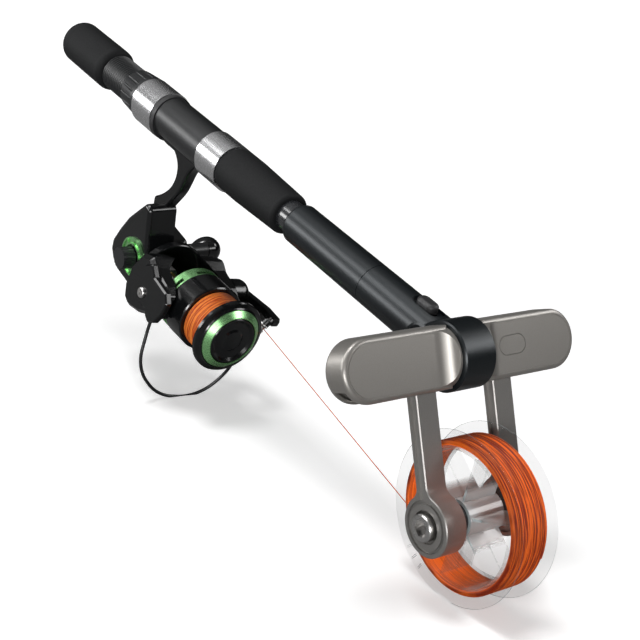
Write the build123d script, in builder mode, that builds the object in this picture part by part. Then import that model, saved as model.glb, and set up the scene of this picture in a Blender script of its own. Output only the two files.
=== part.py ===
from build123d import *
from math import acos, atan2, cos, radians, sin, sqrt
import os

# Fishing line winder: a T-shaped winder head clamped to a rod handle that carries a spinning reel.
# Millimetres. The origin is on the rod's axis in the middle of the butt grip.
# +X runs along the rod to the winder head, +Y along the crossbar, +Z up; the reel hangs below.

# ---------------------------------------------------------------- driving dimensions
# Clearances
glue_gap = 0.05          # radial, between pieces that are glued or pressed together
run_gap = 0.05           # radial, between a shaft and its bore
side_gap = 0.3           # between the faces of pieces that move past each other
pivot_gap = 0.1          # radial, in the bail's pivots

# Rod handle
blank_r = 9.9            # carbon blank, outside
blank_wall = 1.5
grip_len = 61.0          # butt grip
grip_r = 15.6
grip_round = 5.0
thread_gap = 3.0         # butt grip to the first thread
seat_r = 13.0            # reel seat barrel and thread crests
thread_depth = 0.9
thread_pitch = 2.4
thread_len = 45.0
nut_len = 19.0           # ribbed hood nut
nut_r_back = 14.0
nut_r_front = 15.3
nut_ribs = 16
nut_rib_r = 1.1
hood_len = 26.0          # both silver hoods
hood_r = 15.7
front_hood_r = 15.1
hood_bulge = 2.0         # how far the pocket side of a hood stands out
lip_len = 4.5            # black trim ring on the moving hood
lip_r = 15.0
body_len = 55.5          # satin part of the reel seat between the hoods
body_r = 14.2
foregrip_len = 64.5
foregrip_r_back = 15.0
foregrip_r_front = 13.3
blank_show = 10.0        # bare blank between the foregrip and the winder's sleeve

# Reel foot
foot_w = 13.0
foot_thick = 3.2
toe_thick = 2.2
toe_len = 21.0
foot_top = 11.8          # distance of the foot's top face below the rod's axis
foot_clear = 0.3

# Winder handle
sleeve_len = 75.5
tube_r = 12.6
sleeve_wall = 1.25
sleeve_lip = 4.0
sleeve_round = 2.4
collet_len = 42.0
collet_slots = 4
collet_slot_w = 1.2
spigot_len = 28.5
seam_gap = 0.4
tube_len = 72.0          # seam to the crossbar's axis
tube_scoop_r = 9.0       # hollow curve where the tube narrows to the collar
socket_end = 27.0        # how far the rod blank reaches past the seam
switch_back = 28.0       # slide switch to the crossbar's axis
switch_len = 22.0
switch_w = 9.5
switch_depth = 2.6
switch_travel = 5.0
switch_knob_len = 14.0
switch_knob_h = 5.2
lock_slot_w = 4.0
lock_pin_r = 2.0
lock_wall = 4.5          # wall between the switch's hollow and the swivel bore
collar_r = 18.8
collar_w = 21.2
collar_chamfer = 0.7

# Crossbar and its swivel
head_angle = 32.5        # arms swing this far forward of straight down
hub_r = 15.7
bar_half = 80.0          # crossbar, middle to end
bar_h = 32.6
bar_t = 16.0
bar_wall = 1.6
bar_part = -2.5          # parting plane of the two shells, from the bar's middle plane
bar_round = 2.4
line_inset = 2.8         # fine line around the front faces
line_w = 0.35
line_depth = 0.3
neck_gap = 0.3
neck_rim = 1.6
scoop_r = 10.0
guide_r = 3.0
screw_r = 1.2
screw_post_r = 2.6
button_y = 33.0
button_up = 0.8
button_len = 18.6
button_w = 9.9
button_flange = 1.2
spring_r = 1.6
spring_up = 10.8

# Arms and spindles
arm_len = 83.4           # crossbar's axis to the spool's axis
arm_in = 19.8            # inner face of each arm from the middle
arm_depth = 13.6
arm_t = 8.0
arm_top = 7.0
arm_gap = 0.3
boss_r = 16.1
boss_fillet = 7.0
arm_edge = 0.5
groove_w = 3.6
groove_depth = 1.4
rim_ring_r = 13.8
raised_ring_r = 12.0
recess_r = 8.8
recess_depth = 2.6
axle_r = 5.0
axle_hole_r = 2.0
axle_head_r = 7.3
axle_proud = 3.2
hex_flat = 8.0
hex_depth = 4.5
bearing_r = 8.5
bearing_w = 5.0
cone_base_r = 10.2
cone_mouth_r = 8.3
cone_tip_r = 7.0
cone_len = 11.5
cone_lobes = 8
cone_lobe_r = 1.5

# Line spool
flange_r = 46.8
flange_t = 1.5
spool_half_w = 13.0
drum_r = 37.9
drum_wall = 1.2
spool_hub_r = 10.5
spool_hub_bore = 8.6
web_count = 6
web_t = 1.4
web_set = 2.0            # webs end this far inside the drum's rim
slit_w = 0.8
slit_count = 3
pack_r = 41.0

# Spinning reel; its own frame sits on the spool's axis at the front rim
reel_x = 225.6
reel_drop = 105.1
rotor_turn = -8.0
case_lean = 6.0          # the gear case and the stem lean back from the reel's axis
rim_r = 25.7
rim_t = 4.0
reel_pack_r = 20.8
reel_pack_w = 19.4
arbor_r = 16.0
skirt_r = 23.7
skirt_len = 19.0
skirt_wall = 1.6
band_len = 9.4
band_r = 23.5
band_back_t = 1.6        # disc that closes the band at the back
band_windows = 6
band_slot_len = 14.0
band_slot_w = 3.0
rear_hub_r = 6.0
rear_hub_len = 8.0
front_ring_r = 21.3
front_ring_bore = 17.0
cone_foot = 1.2          # front faces of the spool and its ring, ahead of the rim's middle
cone_front = 5.2
drag_r = 16.7
drag_dish = 1.3
shaft_r = 2.0
rotor_front = 78.0       # front edge of the rotor's cup between its arms, behind the rim
rotor_back = 88.0
rotor_r = 26.4
rotor_wall = 1.7
rotor_plate_t = 3.0
rotor_arm_out = 30.5     # outer face of the rotor's arms, from the axis
rotor_arm_in = 12.0
rotor_arm_edge = 2.5
pivot_back = 58.0        # bail pivots, behind the rim
pinion_r = 4.2
pinion_teeth = 8
pinion_back = 5.2        # toothed part of the pinion, ahead of the crank's axis
pinion_tooth_len = 4.2
front_boss_r = 12.0      # round boss on the case around the pinion's bearing
front_boss_gap = 2.0
front_bearing_r = 8.0
front_bearing_w = 3.5
gear_r = 9.2
gear_teeth = 42
nut_flat = 12.0
nut_thick = 5.0
lever_t = 4.0
lever_edge = 1.0
lever_tip = (-42.0, -12.0)
wire_r = 1.15
wire_bend_r = 30.0       # the wire's loop round the spool
wire_end_r = 12.0        # the wire's last bend, before the roller
wire_run_in = 18.0       # from that bend's corner to the roller's middle
wire_socket = 2.0        # how far the wire reaches into the roller's pin
roller_back = 12.2       # line roller, behind the rim
roller_side = 35.2
roller_r = 3.4
roller_groove = 1.2
roller_w = 4.4
roller_pin_r = 1.0
pin_cap_r = 2.3
pin_cap_t = 1.2
lug_r = 3.2
lug_t = 3.2
lug_reach = 7.0
screw_shank_r = 1.6
screw_head_r = 3.7
screw_reach = 6.0        # bail screw into the roller arm's dome
dome_r = 11.0            # round back part of the roller arm
dome_shift = (5.0, 3.0)  # its middle, ahead of and above the pivot
dome_w = 14.0
dome_round = 6.0
roller_bar_t = 5.0
roller_bar_set = 9.3     # bar's inner face, outside the rotor's arm
case_half = 17.0         # gear case, half its width
case_round = 5.0
case_edge = 3.0
stem_half = 4.4
stem_round = 1.8
cover_t = 4.8
crank_back = 104.2
crank_low = -5.2
side_ring_r = 14.2
side_ring_bore = 9.0
side_ring_t = 1.6
cap_r = 7.7
cap_len = 9.3
cap_ribs = 18
crank_r = 3.0
crank_hub_r = 5.5
crank_side = 42.0        # crank arm's inner face, from the reel's middle
crank_arm_t = 5.0
crank_arm_len = 41.0
crank_arm_angle = 211.0
crank_knob_r = 10.2
crank_knob_len = 30.0
knob_pin_r = 2.0

# Line
line_r = 0.3
line_off = 7.6           # where the line leaves the pack, from the spool's middle plane


# ---------------------------------------------------------------- stations along the rod
grip_front = grip_len / 2
thread_start = grip_front + thread_gap
thread_end = thread_start + thread_len
hood_start = thread_end + 4.0
hood_end = hood_start + hood_len
nut_end = hood_start - side_gap
nut_start = nut_end - nut_len
lip_end = hood_end + lip_len
body_start = lip_end
body_end = body_start + body_len
front_hood_end = body_end + hood_len - 2.0
foregrip_start = front_hood_end
foregrip_end = foregrip_start + foregrip_len
sleeve_start = foregrip_end + blank_show
sleeve_end = sleeve_start + sleeve_len
tube_start = sleeve_end + seam_gap
bar_x = tube_start + tube_len
shell_in = collar_w / 2 + neck_gap
blank_end = tube_start + socket_end


# ---------------------------------------------------------------- working planes
def rod_section(x):
    """Plane square to the rod at station x; sketch x is +Y, sketch y is +Z."""
    return Plane(origin=(x, 0, 0), x_dir=(0, 1, 0), z_dir=(1, 0, 0))


head_cos = cos(radians(head_angle))
head_sin = sin(radians(head_angle))
head_out = Vector(head_cos, 0, head_sin)      # square to the crossbar's broad face
head_up = Vector(-head_sin, 0, head_cos)      # opposite to the arms
head_mid = Vector(bar_x, 0, 0)


def head_side(y):
    """Plane square to the crossbar at y; sketch x is outwards, sketch y is up. Extrude goes to -Y."""
    return Plane(origin=head_mid + Vector(0, y, 0), x_dir=head_out, z_dir=(0, -1, 0))


def head_face(out):
    """Plane along the crossbar's broad face; sketch x is +Y, sketch y is up."""
    return Plane(origin=head_mid + head_out * out, x_dir=(0, 1, 0), z_dir=head_out)


def head_level(up):
    """Plane square to the arms; sketch x is outwards, sketch y is +Y."""
    return Plane(origin=head_mid + head_up * up, x_dir=head_out, z_dir=head_up)


spool_mid = head_mid - head_up * arm_len
spool_axis = Axis(origin=spool_mid, direction=(0, 1, 0))


def spool_side(y):
    """Plane square to the spool's axis at y."""
    return Plane(origin=spool_mid + Vector(0, y, 0), x_dir=head_out, z_dir=(0, -1, 0))


# Profiles of turned spool pieces: sketch x is the radius, sketch y is +Y
spool_turn = Plane(origin=spool_mid, x_dir=head_out, z_dir=head_up)

reel_dir = Vector(1, 0, 0)
reel_up = Vector(0, 0, 1)
reel_mid = Vector(reel_x, 0, -reel_drop)
reel_axis = Axis(origin=reel_mid, direction=reel_dir)
# Sketch x is forward along the reel's axis, sketch y is up, extrude goes to -Y
reel_side = Plane(origin=reel_mid, x_dir=reel_dir, z_dir=(0, -1, 0))
# The gear case and the stem from the side, leaning back
lean_cos = cos(radians(case_lean))
lean_sin = sin(radians(case_lean))
case_side = Plane(origin=reel_mid, x_dir=(lean_cos, 0, -lean_sin), z_dir=(0, -1, 0))
# Turned about the reel's axis with the rotor; extrude goes to the left arm
rotor_side = reel_side.rotated((rotor_turn, 0, 0))
rotor_left = rotor_side.z_dir
left_axis = Axis(origin=reel_mid, direction=rotor_left)
rotor_up = rotor_side.y_dir


def reel_at(forward, up, left):
    """A point in the reel's frame."""
    return reel_mid + reel_dir * forward + reel_up * up - Vector(0, left, 0)


def rotor_at(forward, up, left):
    """A point in the rotor's frame."""
    return reel_mid + reel_dir * forward + rotor_up * up + rotor_left * left


def reel_section(forward):
    """Plane square to the reel's axis; sketch x is +Y, sketch y is up."""
    return Plane(origin=reel_mid + reel_dir * forward, x_dir=(0, 1, 0), z_dir=reel_dir)


crank_mid = reel_at(-crank_back, -crank_low, 0)


def finish(builder, name):
    """Label a piece and write it."""
    builder.part.label = name
    export_step(builder.part, f"parts/{name}.step")


def ring_sketch(outer, inner):
    """An annulus in the sketch being built."""
    Circle(outer)
    Circle(inner, mode=Mode.SUBTRACT)


def outline(*points):
    """A closed outline of straight lines in the sketch being built."""
    Polygon(*points, align=None)


os.makedirs("parts", exist_ok=True)

# ================================================================ rod handle
bore_r = blank_r + glue_gap

with BuildPart() as rod_blank:
    with BuildSketch(rod_section(-grip_len / 2 + 2.0)):
        ring_sketch(blank_r, blank_r - blank_wall)
    extrude(amount=blank_end + grip_len / 2 - 2.0)
finish(rod_blank, "rod_blank")

with BuildPart() as butt_grip:
    with BuildSketch(rod_section(-grip_len / 2)):
        Circle(grip_r)
    extrude(amount=grip_len)
    fillet(butt_grip.edges().filter_by(GeomType.CIRCLE), radius=grip_round)
    with BuildSketch(rod_section(-grip_len / 2 + 2.0)):
        Circle(bore_r)
    extrude(amount=grip_len, mode=Mode.SUBTRACT)
finish(butt_grip, "butt_grip")

with BuildPart() as seat_tube:
    with BuildSketch(rod_section(thread_start)):
        ring_sketch(seat_r, bore_r)
    extrude(amount=front_hood_end - thread_start)
    with BuildSketch(rod_section(body_start)):
        ring_sketch(body_r, bore_r)
    extrude(amount=body_len)
    with BuildSketch(Plane.XZ):
        for turn in range(int(thread_len / thread_pitch)):
            with Locations((thread_start + (turn + 0.6) * thread_pitch, seat_r)):
                Polygon((-0.9, 0.01), (0.9, 0.01), (0.25, -thread_depth), (-0.25, -thread_depth), align=None)
    revolve(axis=Axis.X, mode=Mode.SUBTRACT)
    # flat bed for the reel's foot
    with BuildSketch(Plane.XZ.offset(-(foot_w / 2 + foot_clear))):
        with Locations(((hood_start + front_hood_end) / 2, -foot_top - 10.0)):
            Rectangle(front_hood_end - hood_start + 0.1, 20.0)
    extrude(amount=foot_w + 2 * foot_clear, mode=Mode.SUBTRACT)
finish(seat_tube, "seat_tube")

with BuildPart() as hood_nut:
    with BuildSketch(Plane.XZ):
        outline((nut_start, seat_r + run_gap), (nut_start, nut_r_back), (nut_end - 4.0, nut_r_front),
                (nut_end, nut_r_front), (nut_end, seat_r + run_gap))
    revolve(axis=Axis.X)
    with BuildSketch(rod_section(nut_start)):
        with PolarLocations(nut_r_back + 0.9, nut_ribs):
            Circle(nut_rib_r)
    extrude(amount=nut_len - 3.0, mode=Mode.SUBTRACT)
finish(hood_nut, "hood_nut")


def make_hood(start, length, radius, toe_from, toe_to):
    """A silver reel seat hood with a pocket for the foot's toe."""
    with BuildPart() as hood:
        with BuildSketch(rod_section(start)):
            Circle(radius)
            with Locations((0, -hood_bulge)):
                Circle(radius - 0.4)
            Circle(seat_r + run_gap, mode=Mode.SUBTRACT)
        extrude(amount=length)
        with BuildSketch(rod_section(toe_from)):
            with Locations((0, -toe_pocket / 2)):
                Rectangle(foot_w + 2 * foot_clear, toe_pocket)
        extrude(amount=toe_to - toe_from, mode=Mode.SUBTRACT)
    return hood


toe_pocket = 2 * (foot_top + toe_thick + foot_clear)
moving_hood = make_hood(hood_start, hood_len, hood_r, hood_end - toe_len + lip_len, hood_end + 0.1)
finish(moving_hood, "moving_hood")

with BuildPart() as hood_lip_ring:
    lip_bore = foot_top + toe_thick + foot_clear
    with BuildSketch(rod_section(hood_end)):
        Circle(lip_r)
        with Locations((0, -hood_bulge)):
            Circle(lip_r)
        Circle(seat_r + run_gap, mode=Mode.SUBTRACT)
        with Locations((0, -lip_bore / 2)):
            Rectangle(foot_w + 2 * foot_clear, lip_bore, mode=Mode.SUBTRACT)
    extrude(amount=lip_len - foot_clear)
finish(hood_lip_ring, "hood_lip_ring")

front_hood_len = front_hood_end - body_end
fixed_hood = make_hood(body_end, front_hood_len, front_hood_r, body_end - 0.1, body_end + toe_len)
finish(fixed_hood, "fixed_hood")

with BuildPart() as foregrip:
    with BuildSketch(Plane.XZ):
        outline((foregrip_start, bore_r), (foregrip_start, foregrip_r_back - 1.0),
                (foregrip_start + 3.0, foregrip_r_back), (foregrip_start + 20.0, foregrip_r_back),
                (foregrip_end, foregrip_r_front), (foregrip_end, bore_r))
    revolve(axis=Axis.X)
    fillet(foregrip.edges().filter_by(GeomType.CIRCLE).sort_by(Axis.X)[-2:].sort_by(SortBy.RADIUS)[-1],
           radius=2.4)
finish(foregrip, "foregrip")

# ================================================================ winder handle
sleeve_bore = tube_r - sleeve_wall

with BuildPart() as clamp_sleeve:
    with BuildSketch(rod_section(sleeve_start)):
        Circle(tube_r)
    extrude(amount=sleeve_len)
    fillet(clamp_sleeve.faces().sort_by(Axis.X)[0].edges(), radius=sleeve_round)
    with BuildSketch(rod_section(sleeve_start)):
        Circle(blank_r + side_gap)
    extrude(amount=sleeve_lip, mode=Mode.SUBTRACT)
    with BuildSketch(rod_section(sleeve_start + sleeve_lip)):
        Circle(sleeve_bore)
    extrude(amount=sleeve_len, mode=Mode.SUBTRACT)
finish(clamp_sleeve, "clamp_sleeve")

collet_start = sleeve_start + sleeve_lip + side_gap

with BuildPart() as collet:
    with BuildSketch(rod_section(collet_start)):
        ring_sketch(sleeve_bore - run_gap, bore_r)
    extrude(amount=collet_len)
    with BuildSketch(rod_section(collet_start)):
        with PolarLocations(sleeve_bore, collet_slots, start_angle=45):
            Rectangle(6.0, collet_slot_w)
    extrude(amount=collet_len * 0.75, mode=Mode.SUBTRACT)
finish(collet, "collet")

switch_x = bar_x - switch_back
cavity_r = tube_r - 4.6

with BuildPart() as handle_body:
    with BuildSketch(rod_section(tube_start)):
        Circle(tube_r)
    extrude(amount=tube_len)
    with BuildSketch(Plane(origin=(bar_x, collar_w / 2, 0), x_dir=(1, 0, 0), z_dir=(0, -1, 0))):
        Circle(collar_r)
    extrude(amount=collar_w)
    # the tube's sides run in a hollow curve down to the collar's flat sides
    with BuildSketch(Plane.XY.offset(-collar_r)):
        for hand in (-1, 1):
            with Locations((bar_x - collar_r - 2.0, hand * (collar_w / 2 + tube_scoop_r))):
                Circle(tube_scoop_r)
            with Locations((bar_x, hand * (collar_w / 2 + tube_scoop_r))):
                Rectangle(2 * collar_r + 4.0, 2 * tube_scoop_r)
    extrude(amount=2 * collar_r, mode=Mode.SUBTRACT)
    blend_edges = handle_body.edges().filter_by(GeomType.BSPLINE)
    fillet(blend_edges.filter_by_position(Axis.X, bar_x - 20.0, bar_x - 12.0),
           radius=2.5)
    chamfer(handle_body.faces().filter_by(Axis.Y).edges().filter_by(GeomType.CIRCLE), length=collar_chamfer)
    # threaded spigot that the sleeve turns on
    with BuildSketch(rod_section(tube_start - spigot_len)):
        Circle(sleeve_bore - run_gap)
    extrude(amount=spigot_len)
    # socket for the rod
    with BuildSketch(rod_section(tube_start - spigot_len)):
        Circle(bore_r)
    extrude(amount=spigot_len + socket_end, mode=Mode.SUBTRACT)
    # hollow for the lock
    with BuildSketch(rod_section(tube_start + socket_end)):
        Circle(cavity_r)
    extrude(amount=bar_x - tube_start - socket_end - hub_r - lock_wall, mode=Mode.SUBTRACT)
    with BuildSketch(rod_section(bar_x - hub_r - lock_wall)):
        Circle(lock_pin_r + 2 * run_gap)
    extrude(amount=lock_wall, mode=Mode.SUBTRACT)
    # swivel bore
    with BuildSketch(Plane(origin=(bar_x, collar_w, 0), x_dir=(1, 0, 0), z_dir=(0, -1, 0))):
        Circle(hub_r + run_gap)
    extrude(amount=2 * collar_w, mode=Mode.SUBTRACT)
    # oblong recess of the slide switch, and its slot
    with BuildSketch(Plane.XY.offset(tube_r - switch_depth)):
        with Locations((switch_x, 0)):
            SlotOverall(switch_len, switch_w)
    extrude(amount=collar_r, mode=Mode.SUBTRACT)
    with BuildSketch(Plane.XY):
        with Locations((switch_x, 0)):
            SlotOverall(switch_travel + 2 * lock_slot_w, lock_slot_w)
    extrude(amount=tube_r, mode=Mode.SUBTRACT)
finish(handle_body, "handle_body")

knob_x = switch_x - switch_travel / 2 + 1.0
knob_z = tube_r - switch_depth

with BuildPart() as lock_slider:
    with BuildSketch(Plane.XY.offset(knob_z)):
        with Locations((knob_x, 0)):
            SlotOverall(switch_knob_len, switch_w - 1.4)
    extrude(amount=switch_knob_h)
    fillet(lock_slider.faces().sort_by(Axis.Z)[-1].edges(), radius=2.2)
    with BuildSketch(Plane.XY.offset(-lock_pin_r)):
        with Locations((knob_x, 0)):
            Rectangle(4.0, lock_slot_w - 1.0)
    extrude(amount=knob_z + lock_pin_r)
    with BuildSketch(rod_section(knob_x)):
        Circle(lock_pin_r)
    extrude(amount=bar_x - hub_r - run_gap - side_gap - switch_travel - knob_x)
finish(lock_slider, "lock_slider")

# ================================================================ crossbar
scoop_y = shell_in + neck_rim + scoop_r - 0.6

with BuildPart() as bar_hub:
    with BuildSketch(head_side(shell_in)):
        Circle(hub_r)
        Circle(guide_r + 0.02, mode=Mode.SUBTRACT)
    extrude(amount=2 * shell_in)
finish(bar_hub, "bar_hub")

guide_half = bar_half - 4.0
with BuildPart() as guide_rod:
    with BuildSketch(head_side(guide_half)):
        Circle(guide_r)
    extrude(amount=2 * guide_half)
finish(guide_rod, "guide_rod")


def stadium(half, start, height):
    """One end of the crossbar in front view: straight from start, rounded at half."""
    radius = height / 2
    with Locations(((start + half - radius) / 2, 0)):
        Rectangle(half - radius - start, height)
    with Locations((half - radius, 0)):
        Circle(radius)


bar_out_axis = Axis(origin=head_mid, direction=head_out)
arm_slot_start = arm_in - 1.0

with BuildPart() as bar_outer:
    with BuildSketch(head_face(-bar_t / 2)):
        stadium(bar_half, shell_in, bar_h)
    extrude(amount=bar_t)
    broad_faces = bar_outer.faces().sort_by(bar_out_axis)
    fillet(broad_faces[0].edges() + broad_faces[-1].edges(), radius=bar_round)
    # round neck next to the collar, scooped down to the broad faces
    with BuildSketch(head_side(shell_in)):
        Circle(bar_h / 2)
    extrude(amount=-(scoop_y - shell_in))
    with BuildSketch(head_level(-bar_h)):
        for face_side in (-1, 1):
            with Locations((face_side * (bar_t / 2 + scoop_r), scoop_y)):
                Circle(scoop_r)
    extrude(amount=2 * bar_h, mode=Mode.SUBTRACT)
    # hollow
    with BuildSketch(head_face(-bar_t / 2 + bar_wall)):
        stadium(bar_half - bar_wall, shell_in + neck_rim + 0.6, bar_h - 2 * bar_wall)
    extrude(amount=bar_t - 2 * bar_wall, mode=Mode.SUBTRACT)
    # block at the end that holds the guide rod, and the rod's bore
    with BuildSketch(head_side(guide_half - 3.0)):
        Rectangle(bar_t - 2 * bar_wall, 2 * guide_r + 5.0)
    extrude(amount=-(bar_half - guide_half + 2.0))
    with BuildSketch(head_side(shell_in)):
        Circle(guide_r + 0.02)
    extrude(amount=-(guide_half - shell_in + 0.1), mode=Mode.SUBTRACT)
    # posts for the shell screws
    with BuildSketch(head_face(-bar_t / 2 + bar_wall / 2)):
        for post_y in (shell_in + 8.0, bar_half - 17.0):
            with Locations((post_y, bar_h / 2 - bar_wall - screw_post_r + 0.4)):
                Circle(screw_post_r)
    extrude(amount=bar_t - bar_wall)
    with BuildSketch(head_face(-bar_t / 2)):
        for post_y in (shell_in + 8.0, bar_half - 17.0):
            with Locations((post_y, bar_h / 2 - bar_wall - screw_post_r + 0.4)):
                Circle(screw_r + 0.02)
    extrude(amount=bar_t - 2 * bar_wall, mode=Mode.SUBTRACT)
    # slot below that the arm slides in, open at the rounded end
    with BuildSketch(head_level(-bar_h / 2 - 1.0)):
        with Locations((0, (arm_slot_start + bar_half + 1.0) / 2)):
            Rectangle(arm_t + 2 * arm_gap, bar_half + 1.0 - arm_slot_start)
    extrude(amount=bar_wall + 1.4, mode=Mode.SUBTRACT)
    with BuildSketch(head_level(-bar_h / 2 - 1.0)):
        with Locations((0, bar_half - 5.5)):
            Rectangle(arm_t + 2 * arm_gap, 12.0)
    extrude(amount=8.5, mode=Mode.SUBTRACT)

with BuildPart() as bar_line:
    with BuildSketch(head_face(bar_t / 2 - line_depth)):
        stadium(bar_half - line_inset, scoop_y, bar_h - 2 * line_inset)
        with BuildSketch(head_face(bar_t / 2 - line_depth), mode=Mode.PRIVATE) as bar_line_inside:
            stadium(bar_half - line_inset - line_w, scoop_y, bar_h - 2 * (line_inset + line_w))
        add(bar_line_inside.sketch_local, mode=Mode.SUBTRACT)
    extrude(amount=bar_round)

parting = head_face(bar_part)

with BuildPart() as right_front_shell:
    add(bar_outer.part)
    split(bisect_by=parting, keep=Keep.TOP)
    add(bar_line.part, mode=Mode.SUBTRACT)
    # button window
    with BuildSketch(head_face(0)):
        with Locations((button_y, button_up)):
            SlotOverall(button_len + 2 * arm_gap, button_w + 2 * arm_gap)
    extrude(amount=bar_t, mode=Mode.SUBTRACT)
finish(right_front_shell, "right_front_shell")

with BuildPart() as right_rear_shell:
    add(bar_outer.part)
    split(bisect_by=parting, keep=Keep.BOTTOM)
    # peg that centres the button's spring
    with BuildSketch(head_face(-bar_t / 2 + bar_wall / 2)):
        with Locations((button_y, spring_up)):
            Circle(0.9)
    extrude(amount=bar_wall / 2 + 2.5)
finish(right_rear_shell, "right_rear_shell")

with BuildPart() as left_front_shell:
    mirror(bar_outer.part, about=Plane.XZ)
    split(bisect_by=parting, keep=Keep.TOP)
    mirror(bar_line.part, about=Plane.XZ, mode=Mode.SUBTRACT)
finish(left_front_shell, "left_front_shell")

with BuildPart() as left_rear_shell:
    mirror(bar_outer.part, about=Plane.XZ)
    split(bisect_by=parting, keep=Keep.BOTTOM)
finish(left_rear_shell, "left_rear_shell")

with BuildPart() as shell_screws:
    for post_y in (shell_in + 8.0, bar_half - 17.0):
        for hand in (-1, 1):
            with BuildSketch(head_face(-bar_t / 2 + 0.4)):
                with Locations((hand * post_y, bar_h / 2 - bar_wall - screw_post_r + 0.4)):
                    Circle(screw_r)
            extrude(amount=bar_t - 3 * bar_wall)
finish(shell_screws, "shell_screws")

button_top = bar_t / 2 - 0.15
flange_top = bar_t / 2 - bar_wall - 0.1

with BuildPart() as push_button:
    with BuildSketch(head_face(flange_top - button_flange)):
        with Locations((button_y, button_up)):
            SlotOverall(button_len, button_w)
    extrude(amount=button_top - flange_top + button_flange)
    with BuildSketch(head_face(flange_top - button_flange)):
        with Locations((button_y, button_up)):
            SlotOverall(button_len + 2.4, button_w + 2.4)
        with Locations((button_y, (button_up + spring_up + spring_r) / 2)):
            Rectangle(5.0, spring_up + spring_r - button_up)
    extrude(amount=button_flange)
finish(push_button, "push_button")

with BuildPart() as button_spring:
    with BuildSketch(head_face(-bar_t / 2 + bar_wall)):
        with Locations((button_y, spring_up)):
            ring_sketch(spring_r, 1.05)
    extrude(amount=flange_top - button_flange - side_gap / 3 + bar_t / 2 - bar_wall)
finish(button_spring, "button_spring")

# ================================================================ arms and spindles
arm_out = arm_in + arm_depth

with BuildPart() as right_arm:
    with BuildSketch(head_side(arm_in)):
        with Locations((0, (arm_top - arm_len) / 2)):
            Rectangle(arm_t, arm_len + arm_top)
        with Locations((0, -arm_len)):
            Circle(boss_r)
    extrude(amount=-arm_depth)
    roots = right_arm.edges().filter_by(Axis.Y).sort_by(Axis(origin=head_mid, direction=head_up))[:2]
    fillet(roots, radius=boss_fillet)
    arm_faces = right_arm.faces().filter_by(Axis.Y)
    chamfer(arm_faces[0].edges() + arm_faces[-1].edges(), length=arm_edge)
    groove_top = -bar_h / 2 - 1.0
    groove_low = -arm_len + rim_ring_r - 1.0
    for face_y, way in ((arm_in, -1), (arm_out, 1)):
        with BuildSketch(head_side(face_y)):
            with Locations((0, (groove_top + groove_low) / 2)):
                Rectangle(groove_w, groove_top - groove_low)
            with Locations((0, -arm_len)):
                Circle(rim_ring_r)
                Circle(raised_ring_r, mode=Mode.SUBTRACT)
        extrude(amount=way * groove_depth, mode=Mode.SUBTRACT)
    with BuildSketch(head_side(arm_in)):
        Circle(guide_r + run_gap)
    extrude(amount=-arm_depth, mode=Mode.SUBTRACT)
    with BuildSketch(head_side(arm_in)):
        with Locations((0, -arm_len)):
            Circle(axle_r + side_gap)
    extrude(amount=-arm_depth, mode=Mode.SUBTRACT)
    with BuildSketch(head_side(arm_in)):
        with Locations((0, -arm_len)):
            Circle(bearing_r + glue_gap)
    extrude(amount=-bearing_w, mode=Mode.SUBTRACT)
    with BuildSketch(head_side(arm_out)):
        with Locations((0, -arm_len)):
            Circle(recess_r)
    extrude(amount=recess_depth, mode=Mode.SUBTRACT)
finish(right_arm, "right_arm")

with BuildPart() as left_arm:
    mirror(right_arm.part, about=Plane.XZ)
finish(left_arm, "left_arm")

with BuildPart() as right_bearing:
    with BuildSketch(spool_side(arm_in + 0.2)):
        ring_sketch(bearing_r, axle_r + run_gap)
    extrude(amount=-(bearing_w - 0.2))
    with BuildSketch(spool_side(arm_in + 0.2)):
        ring_sketch(bearing_r - 1.2, axle_r + 1.2)
    extrude(amount=-0.4, mode=Mode.SUBTRACT)
finish(right_bearing, "right_bearing")

with BuildPart() as left_bearing:
    mirror(right_bearing.part, about=Plane.XZ)
finish(left_bearing, "left_bearing")

cone_start = arm_in - side_gap
cone_end = cone_start - cone_len
axle_end = cone_end + 1.0

with BuildPart() as right_axle:
    with BuildSketch(spool_side(axle_end)):
        Circle(axle_r)
    extrude(amount=-(arm_out - recess_depth + side_gap - axle_end))
    with BuildSketch(spool_side(arm_out - recess_depth + side_gap)):
        Circle(axle_head_r)
    extrude(amount=-(axle_proud + recess_depth - side_gap))
    chamfer(right_axle.faces().sort_by(Axis.Y)[-1].edges(), length=0.6)
    with BuildSketch(spool_side(arm_out + axle_proud)):
        RegularPolygon(hex_flat / 2, 6, major_radius=False)
    extrude(amount=hex_depth, mode=Mode.SUBTRACT)
    with BuildSketch(spool_side(axle_end)):
        Circle(axle_hole_r)
    extrude(amount=-(arm_out + axle_proud - axle_end), mode=Mode.SUBTRACT)
finish(right_axle, "right_axle")

with BuildPart() as left_axle:
    mirror(right_axle.part, about=Plane.XZ)
finish(left_axle, "left_axle")

with BuildPart() as right_cone:
    with BuildSketch(spool_turn):
        outline((axle_r, cone_start), (cone_base_r, cone_start), (cone_base_r, cone_start - 2.0),
                (cone_base_r - 0.6, spool_half_w + 1.0), (cone_mouth_r, spool_half_w - 1.0),
                (cone_tip_r, cone_end), (axle_r, cone_end))
    revolve(axis=spool_axis)
    with BuildSketch(spool_side(spool_half_w + 0.3)):
        with PolarLocations(cone_base_r + 0.6, cone_lobes):
            Circle(cone_lobe_r)
    extrude(amount=-(cone_start - spool_half_w - 2.5), mode=Mode.SUBTRACT)
finish(right_cone, "right_cone")

with BuildPart() as left_cone:
    mirror(right_cone.part, about=Plane.XZ)
finish(left_cone, "left_cone")

# ================================================================ line spool
drum_in = drum_r - drum_wall

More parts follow.
